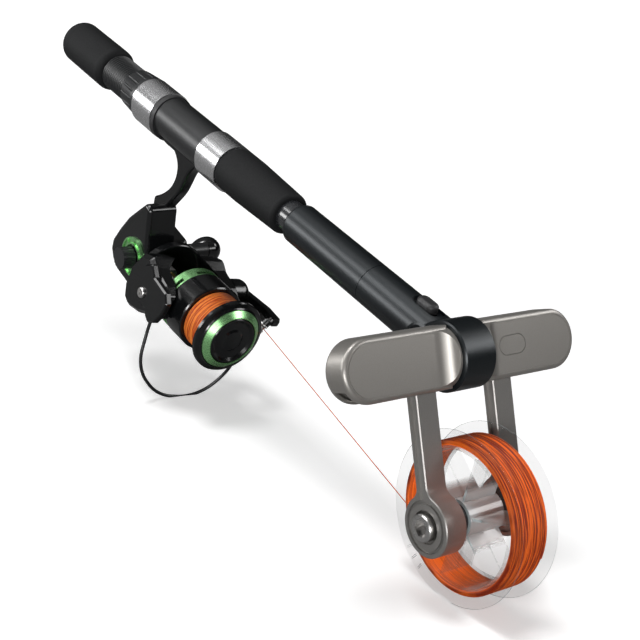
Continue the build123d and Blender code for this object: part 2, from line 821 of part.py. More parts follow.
with BuildPart() as spool_far_half:
    with BuildSketch(spool_side(0)):
        ring_sketch(drum_r, drum_in)
    extrude(amount=-spool_half_w)
    with BuildSketch(spool_side(spool_half_w)):
        ring_sketch(flange_r, drum_in)
    extrude(amount=flange_t)
    fillet(spool_far_half.edges().filter_by(GeomType.CIRCLE).sort_by(SortBy.RADIUS)[-2:], radius=0.5)
    with BuildSketch(spool_side(0)):
        with PolarLocations((spool_hub_r + drum_in) / 2, web_count):
            Rectangle(drum_in - spool_hub_r + 1.2, web_t)
    extrude(amount=-(spool_half_w - web_set))
    with BuildSketch(spool_side(0)):
        ring_sketch(spool_hub_r, spool_hub_bore)
    extrude(amount=-(spool_half_w - 1.0))
finish(spool_far_half, "spool_far_half")

with BuildPart() as spool_near_half:
    mirror(spool_far_half.part, about=Plane.XZ)
    # slits that hold the line's end
    with BuildSketch(spool_side(-spool_half_w + flange_t + 0.1)):
        for slit in range(slit_count):
            slit_angle = 205 + 8 * slit
            with PolarLocations((pack_r + flange_r) / 2, 1, start_angle=slit_angle):
                Rectangle(flange_r - pack_r - 2.0, slit_w)
    extrude(amount=flange_t + 0.2, mode=Mode.SUBTRACT)
finish(spool_near_half, "spool_near_half")

with BuildPart() as braid_pack:
    with BuildSketch(spool_side(spool_half_w - flange_t - 0.05)):
        ring_sketch(pack_r, drum_r + glue_gap)
    extrude(amount=2 * (spool_half_w - flange_t - 0.05))
finish(braid_pack, "braid_pack")

# ================================================================ spinning reel: spool
pack_back = rim_t + reel_pack_w
skirt_back = pack_back + skirt_len
band_back = skirt_back + band_len
skirt_in = skirt_r - skirt_wall
drag_pocket = arbor_r - 3.5
pocket_back = pack_back - 3.0
hub_back = skirt_back - 4.0

with BuildPart() as reel_spool:
    with BuildSketch(reel_side):
        outline((cone_foot, drag_pocket), (cone_foot, front_ring_r), (cone_foot + 0.8, front_ring_r + 0.6),
                (cone_foot, front_ring_r + 1.4), (0.0, rim_r - 0.6), (-1.0, rim_r), (-rim_t + 0.8, rim_r),
                (-rim_t, rim_r - 0.8), (-rim_t, arbor_r), (-pack_back, arbor_r), (-pack_back, skirt_r - 0.8),
                (-pack_back - 0.8, skirt_r), (-skirt_back, skirt_r), (-skirt_back, skirt_in),
                (-pack_back - 2.0, skirt_in), (-pack_back - 2.0, rear_hub_r), (-hub_back, rear_hub_r),
                (-hub_back, shaft_r + run_gap), (-pocket_back, shaft_r + run_gap),
                (-pocket_back, drag_pocket))
    revolve(axis=reel_axis)
finish(reel_spool, "reel_spool")

with BuildPart() as spool_rear_band:
    with BuildSketch(reel_side):
        outline((-skirt_back, skirt_in), (-skirt_back, band_r), (-band_back + 0.6, band_r),
                (-band_back, band_r - 0.6), (-band_back, rear_hub_r), (-band_back - rear_hub_len, rear_hub_r),
                (-band_back - rear_hub_len, shaft_r + run_gap), (-band_back + band_back_t, shaft_r + run_gap),
                (-band_back + band_back_t, skirt_in))
    revolve(axis=reel_axis)
    with BuildSketch(reel_section(-skirt_back - 1.4 - band_slot_w)):
        with PolarLocations(band_r, band_windows, start_angle=20):
            Rectangle(8.0, band_slot_len)
    extrude(amount=band_slot_w, mode=Mode.SUBTRACT)
finish(spool_rear_band, "spool_rear_band")

with BuildPart() as spool_front_ring:
    with BuildSketch(reel_side):
        outline((cone_foot, front_ring_bore), (cone_front, front_ring_bore),
                (cone_front, front_ring_bore + 0.6),
                (cone_foot + 0.9, front_ring_r - glue_gap), (cone_foot, front_ring_r - glue_gap))
    revolve(axis=reel_axis)
finish(spool_front_ring, "spool_front_ring")

with BuildPart() as reel_line_pack:
    with BuildSketch(reel_section(-pack_back + glue_gap)):
        ring_sketch(reel_pack_r, arbor_r + glue_gap)
    extrude(amount=reel_pack_w - 2 * glue_gap)
finish(reel_line_pack, "reel_line_pack")

washer_count = 3
washer_pitch = 3.0
washer_r = drag_pocket - 0.3
with BuildPart() as drag_washers:
    for washer in range(washer_count):
        with BuildSketch(reel_section(-pocket_back + 0.2 + washer * washer_pitch)):
            ring_sketch(washer_r, shaft_r + 0.2)
        extrude(amount=washer_pitch - 0.5)
finish(drag_washers, "drag_washers")

knob_back = -pocket_back + 0.2 + washer_count * washer_pitch
knob_foot = cone_foot + side_gap
knob_stem_r = washer_r - 2.0
with BuildPart() as drag_knob:
    with BuildSketch(reel_side):
        outline((knob_foot, shaft_r + 0.2), (knob_back, shaft_r + 0.2), (knob_back, knob_stem_r),
                (knob_foot, knob_stem_r), (knob_foot, drag_r), (cone_front - 0.6, drag_r),
                (cone_front, drag_r - 0.6), (cone_front, drag_r - 1.6),
                (cone_front - drag_dish, drag_r - 3.4), (cone_front - drag_dish, 8.0),
                (cone_front - 0.5, 6.4), (cone_front - 0.3, 0), (knob_foot, 0))
    revolve(axis=reel_axis)
finish(drag_knob, "drag_knob")

with BuildPart() as main_shaft:
    with BuildSketch(reel_section(-crank_back - 5.0)):
        Circle(shaft_r)
    extrude(amount=crank_back + 5.0 + 0.4)
finish(main_shaft, "main_shaft")

# ================================================================ spinning reel: rotor and bail
rotor_cup_r = rotor_r - rotor_wall
plate_front = -rotor_back + rotor_plate_t


def make_rotor_arm(hand):
    """One arm of the rotor with bevelled outer edges; hand 1 is the left one."""
    with BuildPart() as arm:
        with BuildSketch(rotor_side.offset(hand * rotor_arm_in)):
            arm_outline = Polygon((-87.0, -8.0), (-85.5, 7.0), (-77.0, 20.0), (-66.0, 22.5), (-59.0, 17.5),
                                  (-43.0, 13.5), (-36.0, 8.5), (-36.0, -8.0), (-50.0, -13.0),
                                  (-64.0, -18.5), (-77.0, -20.5), (-83.5, -17.5), align=None)
            fillet(arm_outline.vertices(), radius=3.0)
        extrude(amount=hand * (rotor_arm_out - rotor_arm_in))
        outer_face = arm.faces().sort_by(Axis(origin=reel_mid, direction=rotor_left * hand))[-1]
        chamfer(outer_face.edges(), length=rotor_arm_edge)
        # the spool runs inside the arms
        with BuildSketch(reel_section(-rotor_back - 2.0)):
            Circle(rotor_cup_r + rotor_wall / 3)
        extrude(amount=rotor_back, mode=Mode.SUBTRACT)
    return arm


rotor_arm_left = make_rotor_arm(1)
rotor_arm_right = make_rotor_arm(-1)

with BuildPart() as rotor:
    with BuildSketch(reel_side):
        outline((-rotor_front, rotor_r - 0.5), (-rotor_front, rotor_cup_r), (plate_front, rotor_cup_r),
                (plate_front, pinion_r + glue_gap), (-rotor_back, pinion_r + glue_gap),
                (-rotor_back, rotor_r - 7.0), (-rotor_back + 4.5, rotor_r), (-rotor_front - 0.5, rotor_r))
    revolve(axis=reel_axis)
    add(rotor_arm_left.part)
    add(rotor_arm_right.part)
    for hand in (-1, 1):
        with BuildSketch(rotor_side.offset(hand * (rotor_cup_r - 1.0))):
            with Locations((-pivot_back, 0)):
                Circle(screw_shank_r)
        extrude(amount=hand * 12.0, mode=Mode.SUBTRACT)
finish(rotor, "rotor")

arm_face = rotor_arm_out

with BuildPart() as pinion:
    with BuildSketch(reel_section(-crank_back + pinion_back)):
        ring_sketch(pinion_r, shaft_r + run_gap)
        with PolarLocations(pinion_r + 0.25, pinion_teeth):
            Circle(0.6, mode=Mode.SUBTRACT)
    extrude(amount=pinion_tooth_len)
    with BuildSketch(reel_section(-crank_back + pinion_back + pinion_tooth_len)):
        ring_sketch(pinion_r, shaft_r + run_gap)
    extrude(amount=crank_back - pinion_back - pinion_tooth_len + plate_front + nut_thick + 0.5)
finish(pinion, "pinion")

with BuildPart() as rotor_nut:
    with BuildSketch(reel_section(plate_front)):
        RegularPolygon(nut_flat / 2, 6, major_radius=False)
        Circle(pinion_r + glue_gap, mode=Mode.SUBTRACT)
    extrude(amount=nut_thick)
finish(rotor_nut, "rotor_nut")

lever_in = arm_face + side_gap
lever_out = lever_in + lever_t
lever_mid = lever_in + lever_t / 2
wire_seat = 5.0          # length of the bail wire held in the lever


def touch(across, up, radius, hand):
    """Where a line from (across, up) touches a circle about the origin."""
    spread = acos(radius / sqrt(across ** 2 + up ** 2))
    angle = atan2(up, across) + hand * spread
    return radius * cos(angle), radius * sin(angle)


# The taut line leaves the reel's pack, turns on the roller and runs to the line spool's underside
line_turn = rotor_at(-roller_back - 2.5, -0.5, -roller_side - 1.9)
turn_offset = line_turn - reel_mid
turn_forward = turn_offset.dot(reel_dir)
pack_touch = touch(line_turn.Y, turn_offset.dot(reel_up), reel_pack_r + line_r, 1)
line_from = reel_at(turn_forward, pack_touch[1], -pack_touch[0])
spool_offset = line_turn - spool_mid
spool_touch = touch(spool_offset.X, spool_offset.Z, pack_r + line_r, 1)
line_to = spool_mid + Vector(spool_touch[0], line_off, spool_touch[1])
line_in = (line_turn - line_to).normalized()
line_out = (line_from - line_turn).normalized()

# The roller's axis is square to the plane the line turns in
turn_r = roller_r - roller_groove + line_r
half_turn = line_in.get_angle(line_out) / 2
roller_mid = line_turn + (line_out - line_in).normalized() * (turn_r / cos(radians(half_turn)))
roller_dir = line_in.cross(line_out).normalized()
if roller_dir.Z < 0:
    roller_dir = roller_dir * -1
roller_fwd = line_in * -1
roller_axis = Axis(origin=roller_mid, direction=roller_dir)


def roller_plane(along):
    """Plane square to the roller's axis; sketch x is forward along the line."""
    return Plane(origin=roller_mid + roller_dir * along, x_dir=roller_fwd, z_dir=roller_dir)


lug_in = roller_w / 2 + side_gap
lug_out = lug_in + lug_t

with BuildPart() as bail_lever:
    with BuildSketch(rotor_side.offset(lever_in)):
        lever_outline = Polygon((-66.5, 9.0), (-64.0, 18.0), (-57.0, 22.0), (-50.0, 15.5), (-33.5, 13.0),
                                (-29.0, 7.0), (-31.0, -1.5), (-36.5, -11.0), (-43.5, -14.5), (-48.0, -12.0),
                                (-50.0, -8.0), (-60.0, -8.5), (-66.0, -4.0), align=None)
        fillet(lever_outline.vertices(), radius=1.5)
    extrude(amount=lever_t)
    chamfer(bail_lever.faces().sort_by(left_axis)[-1].edges(), length=lever_edge)
    with BuildSketch(rotor_side.offset(lever_in)):
        with Locations((-pivot_back, 0)):
            Circle(screw_shank_r + pivot_gap)
    extrude(amount=lever_t, mode=Mode.SUBTRACT)
    with BuildSketch(Plane(origin=rotor_at(lever_tip[0], lever_tip[1] - wire_seat, lever_mid), z_dir=rotor_up)):
        Circle(wire_r + run_gap)
    extrude(amount=2 * wire_seat, mode=Mode.SUBTRACT)
finish(bail_lever, "bail_lever")

bar_in = lever_in + roller_bar_set

with BuildPart() as roller_arm:
    with BuildSketch(rotor_side.offset(-lever_in)):
        with Locations((-pivot_back + dome_shift[0], dome_shift[1])):
            Circle(dome_r)
    extrude(amount=-dome_w)
    fillet(roller_arm.faces().sort_by(left_axis)[0].edges(), radius=dome_round)
    with BuildSketch(rotor_side.offset(-bar_in)):
        Polygon((-pivot_back + 4.0, 8.0), (-22.0, 10.0), (-9.0, 9.0), (-8.0, 6.5), (-9.0, 3.0), (-22.0, 2.0),
                (-pivot_back + 4.0, -4.0), align=None)
    extrude(amount=-roller_bar_t)
    # lug that carries the roller's pin
    with BuildSketch(roller_plane(lug_in)):
        with Locations((-lug_reach / 2, 0)):
            SlotCenterToCenter(lug_reach, 2 * lug_r)
    extrude(amount=lug_t)
    with BuildSketch(roller_plane(lug_in)):
        Circle(roller_pin_r + glue_gap)
    extrude(amount=lug_t, mode=Mode.SUBTRACT)
    with BuildSketch(roller_plane(lug_out)):
        Circle(pin_cap_r + side_gap)
    extrude(amount=lug_t, mode=Mode.SUBTRACT)
    with BuildSketch(rotor_side.offset(-lever_in)):
        with Locations((-pivot_back, 0)):
            Circle(screw_shank_r + pivot_gap)
    extrude(amount=-screw_reach, mode=Mode.SUBTRACT)
finish(roller_arm, "roller_arm")

with BuildPart() as bail_screws:
    for hand, reach in ((1, lever_t), (-1, screw_reach)):
        with BuildSketch(rotor_side.offset(hand * (rotor_cup_r + 0.4))):
            with Locations((-pivot_back, 0)):
                Circle(screw_shank_r)
        extrude(amount=hand * (lever_in + reach - rotor_cup_r - 0.4))
    with BuildSketch(rotor_side.offset(lever_out)):
        with Locations((-pivot_back, 0)):
            Circle(screw_head_r)
    extrude(amount=1.8)
    fillet(bail_screws.faces().sort_by(left_axis)[-1].edges(), radius=1.0)
    with BuildSketch(rotor_side.offset(lever_out + 1.8)):
        with Locations((-pivot_back, 0)):
            Rectangle(4.2, 0.9)
            Rectangle(0.9, 4.2)
    extrude(amount=-1.0, mode=Mode.SUBTRACT)
finish(bail_screws, "bail_screws")

wire_start = rotor_at(lever_tip[0], lever_tip[1] + wire_seat, lever_mid)
wire_leave = rotor_at(lever_tip[0], lever_tip[1] - wire_seat - 3.5, lever_mid)
wire_low = rotor_at(-26.5, -46.3, -32.5)
wire_turn = roller_mid - roller_dir * wire_run_in
wire_half = (wire_low + wire_turn) / 2
wire_finish = roller_mid - roller_dir * (lug_out - wire_socket + 0.1)

with BuildPart() as bail_wire:
    with BuildLine():
        FilletPolyline(wire_start, wire_leave, rotor_at(-37.3, -46.3, 34.9), rotor_at(-33.4, -66.5, 14.3),
                       rotor_at(-30.2, -66.5, -14.3), wire_low, wire_half, radius=wire_bend_r)
        FilletPolyline(wire_half, wire_turn, wire_finish, radius=wire_end_r)
    with BuildSketch(Plane(origin=wire_start, z_dir=rotor_up * -1)):
        Circle(wire_r)
    sweep()
finish(bail_wire, "bail_wire")

with BuildPart() as line_roller:
    with BuildSketch(roller_plane(-roller_w / 2)):
        ring_sketch(roller_r, roller_pin_r + run_gap)
    extrude(amount=roller_w)
    with BuildSketch(Plane(origin=roller_mid, x_dir=roller_fwd, z_dir=line_out)):
        with Locations((roller_r + 0.6, 0)):
            Circle(0.6 + roller_groove)
    revolve(axis=roller_axis, mode=Mode.SUBTRACT)
finish(line_roller, "line_roller")

with BuildPart() as roller_pin:
    with BuildSketch(roller_plane(-lug_out)):
        Circle(roller_pin_r)
    extrude(amount=2 * lug_out)
    with BuildSketch(roller_plane(-lug_out)):
        Circle(lug_r)
    extrude(amount=lug_t)
    with BuildSketch(roller_plane(lug_out)):
        Circle(pin_cap_r)
    extrude(amount=pin_cap_t)
    with BuildSketch(roller_plane(-lug_out)):
        Circle(wire_r + run_gap)
    extrude(amount=wire_socket, mode=Mode.SUBTRACT)
finish(roller_pin, "roller_pin")

with BuildPart() as working_line:
    with BuildLine():
        FilletPolyline(line_from, line_turn, line_to, radius=turn_r)
    with BuildSketch(Plane(origin=line_from, z_dir=line_out * -1)):
        Circle(line_r)
    sweep()
finish(working_line, "working_line")

# ================================================================ spinning reel: body and crank
cavity_left = case_half - cover_t
shaft_room = crank_back + 22.0
boss_front = rotor_back + front_boss_gap
gear_hollow_r = gear_r + 1.4

# the gear case from the side: the low part is as wide as the case, the shoulder only reaches the stem
with BuildSketch() as case_shape:
    Polygon((-90.5, 6.0), (-93.0, 15.0), (-100.5, 43.5), (-112.5, 28.5), (-122.5, 15.5), (-129.5, 2.5),
            (-135.5, -11.0), (-135.0, -18.5), (-130.0, -24.5), (-122.0, -28.5), (-104.0, -29.0),
            (-90.5, -25.0), align=None)
    fillet(case_shape.vertices(), radius=case_round)

with BuildSketch() as case_low_shape:
    Polygon((-90.5, 6.0), (-92.5, 12.5), (-123.5, 13.0), (-129.5, 2.5), (-135.5, -11.0), (-135.0, -18.5),
            (-130.0, -24.5), (-122.0, -28.5), (-104.0, -29.0), (-90.5, -25.0), align=None)
    fillet(case_low_shape.vertices(), radius=case_round)

with BuildPart() as stem:
    with BuildSketch(case_side.offset(-stem_half)):
        with BuildLine():
            Spline((-119.0, 80.2), (-108.0, 77.4), (-99.6, 71.0), (-98.2, 60.0), (-104.7, 46.9),
                   (-115.0, 37.0))
            Line((-115.0, 37.0), (-112.0, 10.0))
            Line((-112.0, 10.0), (-99.0, 10.0))
            Spline((-99.0, 10.0), (-104.2, 23.0), (-99.5, 37.0), (-89.0, 57.0), (-83.5, 75.0), (-74.0, 84.3))
            Line((-74.0, 84.3), (-119.0, 80.2))
        make_face()
    extrude(amount=2 * stem_half)
    side_edges = stem.faces().sort_by(Axis.Y)[0].edges() + stem.faces().sort_by(Axis.Y)[-1].edges()
    fillet(side_edges.filter_by(GeomType.BSPLINE), radius=stem_round)

with BuildPart() as reel_frame:
    # foot, in the rod's frame
    foot_from = hood_end - toe_len + lip_len + foot_clear
    foot_to = body_end + toe_len - foot_clear
    with BuildSketch(Plane.XZ.offset(-foot_w / 2)):
        with BuildLine():
            Polyline((foot_from, -foot_top), (foot_to, -foot_top), (foot_to, -foot_top - toe_thick + 0.6),
                     (body_end - 1.0, -foot_top - toe_thick), (body_end - 8.0, -foot_top - foot_thick),
                     (body_start + 8.0, -foot_top - foot_thick), (body_start + 1.0, -foot_top - toe_thick),
                     (foot_from, -foot_top - toe_thick + 0.6), close=True)
        make_face()
    extrude(amount=foot_w)
    add(stem.part)
    # gear case
    with BuildSketch(case_side.offset(-stem_half)):
        add(case_shape.sketch_local)
    extrude(amount=stem_half + cavity_left)
    with BuildSketch(case_side.offset(-case_half)):
        add(case_low_shape.sketch_local)
    extrude(amount=case_half - stem_half)
    fillet(reel_frame.faces().sort_by(Axis.Y)[-1].edges(), radius=case_edge)
    with BuildSketch(reel_section(-boss_front - 8.0)):
        Circle(front_boss_r)
    extrude(amount=8.0)
    # hollow for the gears, from the cover's side
    with BuildSketch(reel_side.offset(cavity_left)):
        with Locations((-crank_back, -crank_low)):
            Circle(gear_hollow_r)
    extrude(amount=-(cavity_left + 7.0), mode=Mode.SUBTRACT)
    with BuildSketch(reel_section(-shaft_room)):
        Circle(shaft_r + run_gap)
    extrude(amount=shaft_room, mode=Mode.SUBTRACT)
    with BuildSketch(reel_section(-crank_back)):
        Circle(pinion_r + 0.4)
    extrude(amount=crank_back - rotor_back, mode=Mode.SUBTRACT)
    with BuildSketch(reel_section(-boss_front - front_bearing_w)):
        Circle(front_bearing_r + glue_gap)
    extrude(amount=front_bearing_w, mode=Mode.SUBTRACT)
    with BuildSketch(reel_side.offset(-case_half)):
        with Locations((-crank_back, -crank_low)):
            Circle(crank_r + run_gap)
    extrude(amount=case_half, mode=Mode.SUBTRACT)
finish(reel_frame, "reel_frame")

with BuildPart() as main_bearing:
    with BuildSketch(reel_section(-boss_front - front_bearing_w)):
        ring_sketch(front_bearing_r, pinion_r + run_gap)
    extrude(amount=front_bearing_w - 0.1)
finish(main_bearing, "main_bearing")

with BuildPart() as side_cover:
    with BuildSketch(case_side.offset(cavity_left)):
        add(case_shape.sketch_local)
    extrude(amount=cover_t)
    fillet(side_cover.faces().sort_by(Axis.Y)[0].edges(), radius=case_edge)
    with BuildSketch(reel_side.offset(cavity_left)):
        with Locations((-crank_back, -crank_low)):
            Circle(crank_r + run_gap)
    extrude(amount=cover_t, mode=Mode.SUBTRACT)
finish(side_cover, "side_cover")

with BuildPart() as side_ring:
    with BuildSketch(reel_side.offset(case_half)):
        with Locations((-crank_back, -crank_low)):
            ring_sketch(side_ring_r, side_ring_bore)
    extrude(amount=side_ring_t)
    with BuildSketch(reel_side.offset(case_half + side_ring_t)):
        with Locations((-crank_back, -crank_low)):
            ring_sketch(side_ring_r - 1.1, side_ring_bore + 1.1)
            with PolarLocations(11.6, 8):
                Rectangle(8.0, 1.1, mode=Mode.SUBTRACT)
    extrude(amount=-0.9, mode=Mode.SUBTRACT)
finish(side_ring, "side_ring")

cap_in = case_half + side_ring_t + side_gap

with BuildPart() as crank_cap:
    with BuildSketch(reel_side.offset(cap_in)):
        with Locations((-crank_back, -crank_low)):
            Circle(cap_r)
            with PolarLocations(cap_r + 0.35, cap_ribs):
                Circle(0.8, mode=Mode.SUBTRACT)
    extrude(amount=cap_len)
    with BuildSketch(reel_side.offset(cap_in)):
        with Locations((-crank_back, -crank_low)):
            Circle(crank_r + glue_gap)
    extrude(amount=cap_len - 2.0, mode=Mode.SUBTRACT)
finish(crank_cap, "crank_cap")

with BuildPart() as crank_shaft:
    with BuildSketch(reel_side.offset(-crank_side - crank_arm_t + 1.0)):
        with Locations((-crank_back, -crank_low)):
            Circle(crank_r)
    extrude(amount=crank_side + crank_arm_t - 1.0 + cap_in + cap_len - 2.2)
    with BuildSketch(reel_side.offset(-crank_side + 0.1)):
        with Locations((-crank_back, -crank_low)):
            Circle(crank_hub_r)
    extrude(amount=crank_side - 0.1 - case_half - side_gap)
finish(crank_shaft, "crank_shaft")

gear_out = pinion_r + side_gap / 2

with BuildPart() as drive_gear:
    with BuildSketch(reel_side.offset(gear_out)):
        with Locations((-crank_back, -crank_low)):
            Circle(gear_r)
            with PolarLocations(gear_r + 0.15, gear_teeth):
                Circle(0.45, mode=Mode.SUBTRACT)
            Circle(crank_r + glue_gap, mode=Mode.SUBTRACT)
    extrude(amount=3.2)
    with BuildSketch(reel_side.offset(gear_out)):
        with Locations((-crank_back, -crank_low)):
            ring_sketch(crank_r + 2.5, crank_r + glue_gap)
    extrude(amount=6.0)
finish(drive_gear, "drive_gear")

knob_turn = radians(crank_arm_angle)
crank_knob_mid = (-crank_back + crank_arm_len * cos(knob_turn), -crank_low + crank_arm_len * sin(knob_turn))
knob_in = crank_side + crank_arm_t + side_gap

with BuildPart() as crank_arm:
    with BuildSketch(reel_side.offset(-crank_side)):
        with Locations((-crank_back, -crank_low)):
            Circle(6.0)
        with Locations(crank_knob_mid):
            Circle(4.6)
        with Locations(Location((-crank_back, -crank_low, 0), (0, 0, crank_arm_angle))):
            with Locations((crank_arm_len / 2, 0)):
                Rectangle(crank_arm_len, 7.6)
        with Locations((-crank_back, -crank_low)):
            Circle(crank_r + glue_gap, mode=Mode.SUBTRACT)
        with Locations(crank_knob_mid):
            Circle(knob_pin_r + glue_gap, mode=Mode.SUBTRACT)
    extrude(amount=-crank_arm_t)
finish(crank_arm, "crank_arm")

with BuildPart() as knob_pin:
    with BuildSketch(reel_side.offset(-crank_side - 0.5)):
        with Locations(crank_knob_mid):
            Circle(knob_pin_r)
    extrude(amount=-(crank_arm_t + crank_knob_len - 3.0))
    with BuildSketch(reel_side.offset(-knob_in - crank_knob_len + 3.6)):
        with Locations(crank_knob_mid):
            Circle(knob_pin_r + 1.4)
    extrude(amount=-1.6)
finish(knob_pin, "knob_pin")

crank_knob_axis = Axis(origin=reel_at(crank_knob_mid[0], crank_knob_mid[1], 0), direction=(0, 1, 0))
knob_profile = Plane(origin=reel_at(crank_knob_mid[0], crank_knob_mid[1], 0), x_dir=reel_dir, z_dir=reel_up)

with BuildPart() as crank_knob:
    with BuildSketch(knob_profile):
        with BuildLine():
            Line((knob_pin_r + run_gap, knob_in), (5.0, knob_in))
            Spline((5.0, knob_in), (4.4, knob_in + 6.0), (crank_knob_r - 1.6, knob_in + 14.0),
                   (crank_knob_r, knob_in + 21.0), (5.6, knob_in + crank_knob_len))
            Line((5.6, knob_in + crank_knob_len), (knob_pin_r + 2.0, knob_in + crank_knob_len))
            Line((knob_pin_r + 2.0, knob_in + crank_knob_len),
                 (knob_pin_r + 2.0, knob_in + crank_knob_len - 3.9))
            Line((knob_pin_r + 2.0, knob_in + crank_knob_len - 3.9),
                 (knob_pin_r + run_gap, knob_in + crank_knob_len - 3.9))
            Line((knob_pin_r + run_gap, knob_in + crank_knob_len - 3.9), (knob_pin_r + run_gap, knob_in))
        make_face()
    revolve(axis=crank_knob_axis)
finish(crank_knob, "crank_knob")
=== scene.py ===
# %% [markdown]
# # A fishing line winder
# The winder is a T-shaped head on a rod handle. The handle also carries a spinning reel, and a line runs
# from the reel to a clear spool between the head's two arms. The exact pieces come from the CAD frame;
# this script gives them their finishes and models what CAD leaves plain, such as the wound line.

# %% Load the frame
from math import atan2, cos, degrees, pi, radians, sin
import bpy
from mathutils import Matrix, Vector


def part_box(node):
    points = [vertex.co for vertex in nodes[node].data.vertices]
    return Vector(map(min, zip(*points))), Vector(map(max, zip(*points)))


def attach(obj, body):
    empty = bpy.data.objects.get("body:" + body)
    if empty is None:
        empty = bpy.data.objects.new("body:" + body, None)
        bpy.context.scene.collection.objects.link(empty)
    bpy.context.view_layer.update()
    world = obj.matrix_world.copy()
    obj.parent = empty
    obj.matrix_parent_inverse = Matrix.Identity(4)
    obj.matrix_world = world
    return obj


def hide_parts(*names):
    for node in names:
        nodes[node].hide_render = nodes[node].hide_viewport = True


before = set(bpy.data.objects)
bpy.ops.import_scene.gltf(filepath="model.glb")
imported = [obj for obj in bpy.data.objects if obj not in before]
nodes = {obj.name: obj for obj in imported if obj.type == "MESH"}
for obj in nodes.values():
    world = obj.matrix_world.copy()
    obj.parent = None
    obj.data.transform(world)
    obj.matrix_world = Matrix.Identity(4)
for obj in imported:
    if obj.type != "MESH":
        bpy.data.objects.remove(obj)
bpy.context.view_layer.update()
mm = 0.001

# %% [markdown]
# Everything turns about a few axes, so they are named once, in metres, in the frame's own directions.
# The head leans forward of straight down, and the reel's axis runs along the rod.

# %% The object's own directions
head_lean = radians(32.5)
head_up = Vector((-sin(head_lean), 0, cos(head_lean)))
head_mid = Vector((414.9, 0, 0)) * mm
arm_reach = 83.4 * mm
spool_mid = head_mid - head_up * arm_reach
reel_axis_z = -105.1 * mm
print("line spool at", tuple(round(v, 4) for v in spool_mid))


# %% [markdown]
# Each finish is a node material. A noise on Object coordinates breaks up the colour and the roughness,
# and feeds a bump, so no surface is one flat value. What is the same all over is set on the shader.

# %% A helper for finishes
def new_finish(name, **shader_values):
    """A material with a Principled shader; returns the material, its node tree and the shader."""
    finish = bpy.data.materials.new(name)
    finish.use_nodes = True
    tree = finish.node_tree
    shader = tree.nodes["Principled BSDF"]
    for socket, value in shader_values.items():
        shader.inputs[socket.replace("_", " ")].default_value = value
    return finish, tree, shader


def add_node(tree, kind, **settings):
    """A node with its settings; numbers for sockets are given as a dict named inputs."""
    node = tree.nodes.new(kind)
    for socket, value in settings.pop("inputs", {}).items():
        node.inputs[socket].default_value = value
    for key, value in settings.items():
        setattr(node, key, value)
    return node


def place_pattern(tree, stretch=(1, 1, 1), centre=(0, 0, 0)):
    """Object coordinates, centred and stretched; returns the socket to read."""
    where = add_node(tree, "ShaderNodeTexCoord")
    move = add_node(tree, "ShaderNodeMapping", vector_type="TEXTURE")
    move.inputs["Location"].default_value = centre
    move.inputs["Scale"].default_value = tuple(1 / s for s in stretch)
    tree.links.new(where.outputs["Object"], move.inputs["Vector"])
    return move.outputs["Vector"]


def add_noise(tree, vector, scale, detail=4.0, rough=0.6):
    """A noise of this scale on a vector; returns its value."""
    noise = add_node(tree, "ShaderNodeTexNoise",
                     inputs={"Scale": scale, "Detail": detail, "Roughness": rough})
    tree.links.new(vector, noise.inputs["Vector"])
    return noise.outputs["Fac"]


def spread(tree, value, low, high, from_low=0.35, from_high=0.65):
    """Maps a pattern's middle range to low..high."""
    ranged = add_node(tree, "ShaderNodeMapRange")
    ranged.inputs["From Min"].default_value = from_low
    ranged.inputs["From Max"].default_value = from_high
    ranged.inputs["To Min"].default_value = low
    ranged.inputs["To Max"].default_value = high
    tree.links.new(value, ranged.inputs["Value"])
    return ranged.outputs["Result"]


def two_tones(tree, value, dark, light):
    """A colour between dark and light."""
    ramp = add_node(tree, "ShaderNodeValToRGB")
    ramp.color_ramp.elements[0].position = 0.3
    ramp.color_ramp.elements[1].position = 0.7
    ramp.color_ramp.elements[0].color = (*dark, 1)
    ramp.color_ramp.elements[1].color = (*light, 1)
    tree.links.new(value, ramp.inputs["Fac"])
    return ramp.outputs["Color"]


def add_bump(tree, shader, height, strength, distance):
    """Puts a bump from a height on the shader; distance is its full depth in metres."""
    bump = add_node(tree, "ShaderNodeBump", inputs={"Strength": strength, "Distance": distance})
    tree.links.new(height, bump.inputs["Height"])
    tree.links.new(bump.outputs["Normal"], shader.inputs["Normal"])


def plain_finish(name, dark, light, rough, grain=900, bump=0.15, depth=0.0001, stretch=(1, 1, 1),
                 **shader_values):
    """A finish with a fine grain: two close tones, a little roughness change and a shallow bump."""
    finish, tree, shader = new_finish(name, **shader_values)
    vector = place_pattern(tree, stretch)
    cloud = add_noise(tree, vector, grain * 0.35, detail=3.0)
    fine = add_noise(tree, vector, grain, detail=5.0)
    tree.links.new(two_tones(tree, cloud, dark, light), shader.inputs["Base Color"])
    tree.links.new(spread(tree, fine, rough[0], rough[1]), shader.inputs["Roughness"])
    add_bump(tree, shader, fine, bump, depth)
    print("finish", name)
    return finish


def dress(finish, *names):
    """Gives CAD nodes their finish."""
    for name in names:
        node = nodes[name]
        if not node.data.materials:
            node.data.materials.append(finish)
        for place in node.material_slots:
            place.material = finish


# %% [markdown]
# The handle: closed-cell foam grips are a deep matt black with fine pores, the reel seat is satin moulded
# plastic, its hoods are polished metal, and the winder's own tube is blue-black anodised metal.

